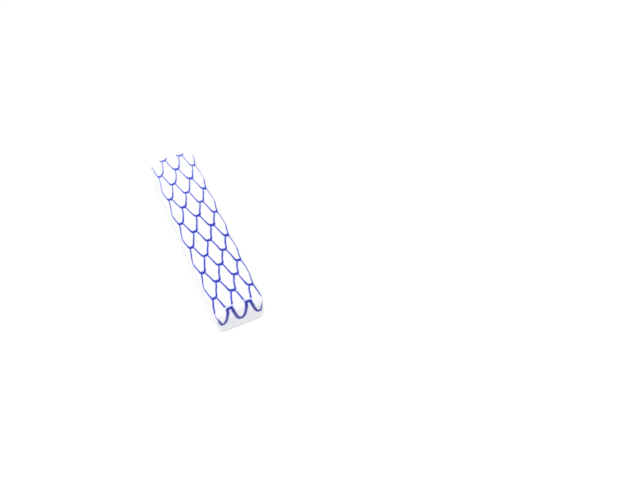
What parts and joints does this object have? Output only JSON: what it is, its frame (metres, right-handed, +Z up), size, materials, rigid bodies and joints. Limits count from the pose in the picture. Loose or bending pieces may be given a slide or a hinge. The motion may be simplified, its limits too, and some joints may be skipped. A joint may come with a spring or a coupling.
{
  "type": "chopstick rest",
  "caption": "Loaf-shaped porcelain chopstick rest with a gently saddled crown, clear glaze and a net of cobalt brush lines.",
  "frame": {"origin": "centre of the foot, on the surface that the rest stands on", "axes": "+X along the bar, towards the end where the meshes hang as scallops; +Y across the bar; +Z up"},
  "size_m": [0.07, 0.0162, 0.0114],
  "materials": {
    "porcelain_body": "matte",
    "glaze_coat": "gloss",
    "recess_glaze": "gloss",
    "cobalt_net": "gloss"
  },
  "bodies": {
    "root": {"porcelain_body": "porcelain_body", "glaze_coat": "glaze_coat", "recess_glaze": "recess_glaze", "cobalt_net": "cobalt_net"}
  },
  "joints": []
}
